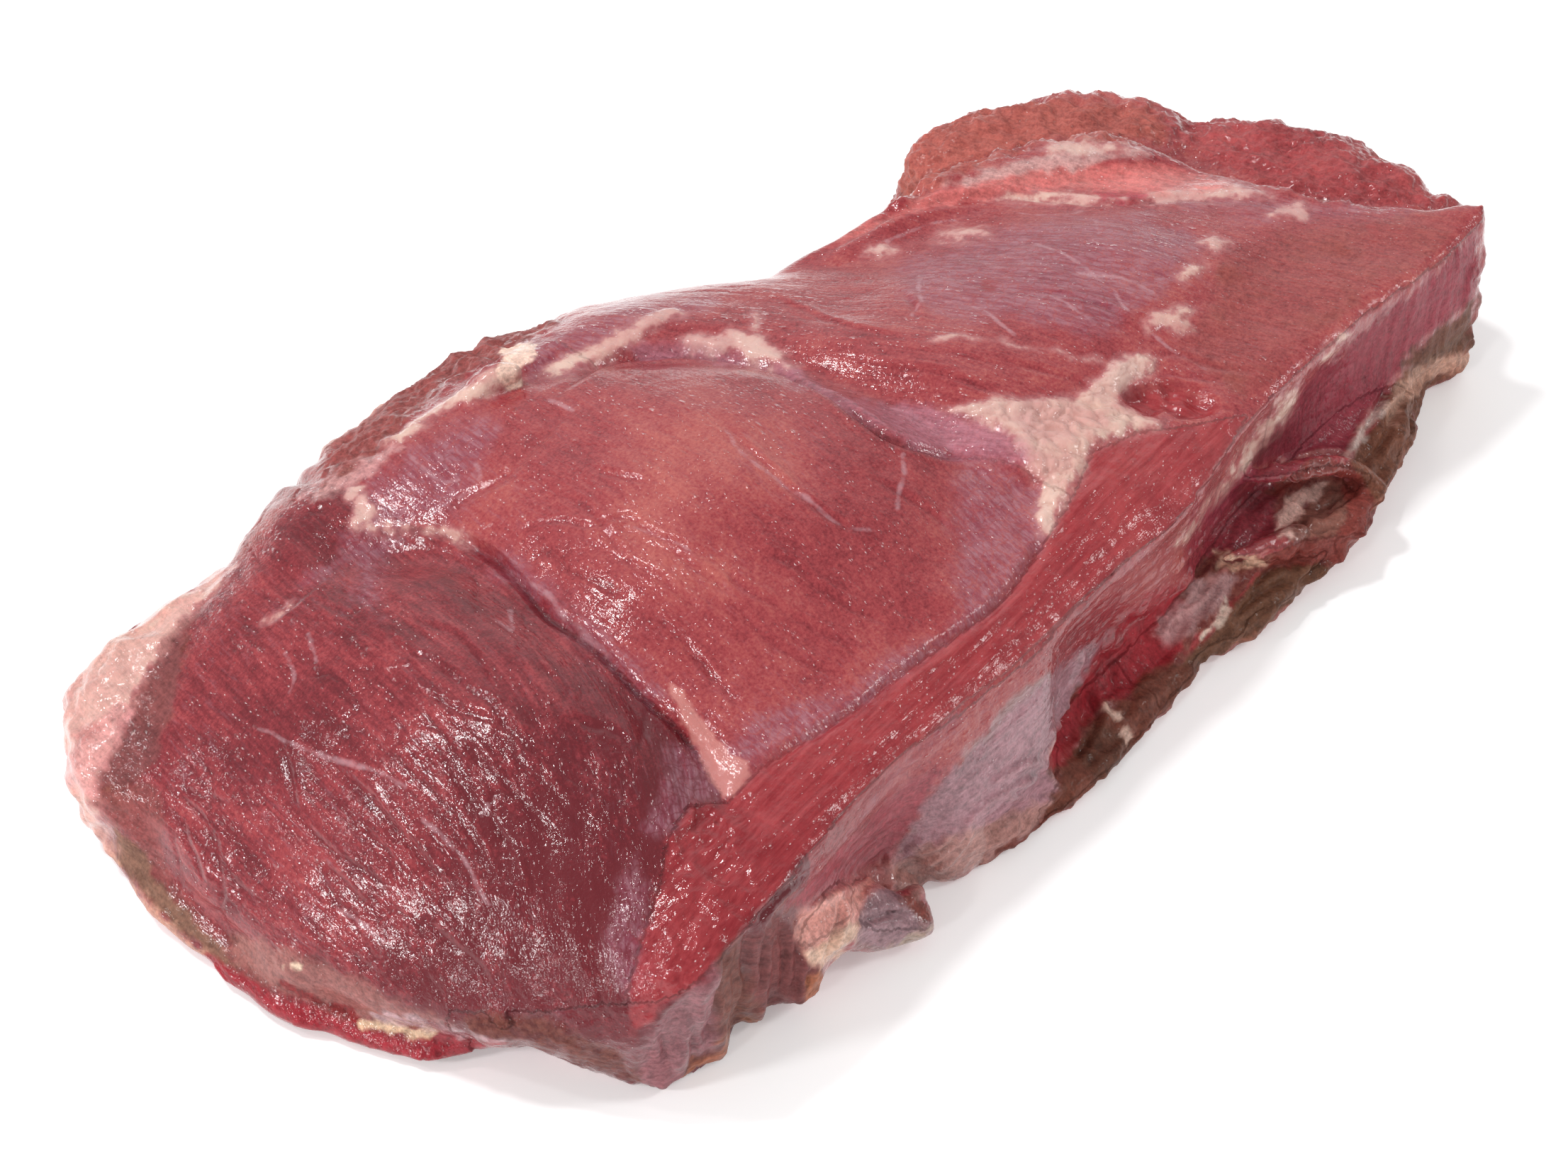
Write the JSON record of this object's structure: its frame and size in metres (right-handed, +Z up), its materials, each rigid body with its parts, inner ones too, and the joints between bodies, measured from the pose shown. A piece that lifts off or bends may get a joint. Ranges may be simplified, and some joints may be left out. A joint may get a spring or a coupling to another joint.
{
  "type": "raw wild boar leg roast",
  "caption": "Boned raw leg roast of wild boar, one long slab of red muscle with fat, silverskin seams, a straight cut side and rolled flaps.",
  "frame": {"origin": "under the middle of the roast, on the surface it lies on", "axes": "+X from the rounded knuckle end to the rump end, -Y out of the long cut side, +Z up"},
  "size_m": [0.3764, 0.2012, 0.0709],
  "materials": {
    "raw_meat": "wet raw red game meat with fine grain, mauve silverskin, cream fat and browned dried edges",
    "fat": "moist cream to pink fat and sinew with a finely crumbled surface",
    "dried_edge": "brown, wrinkled, half dried outer flap"
  },
  "bodies": {
    "root": {"roast": "raw_meat"}
  },
  "joints": []
}
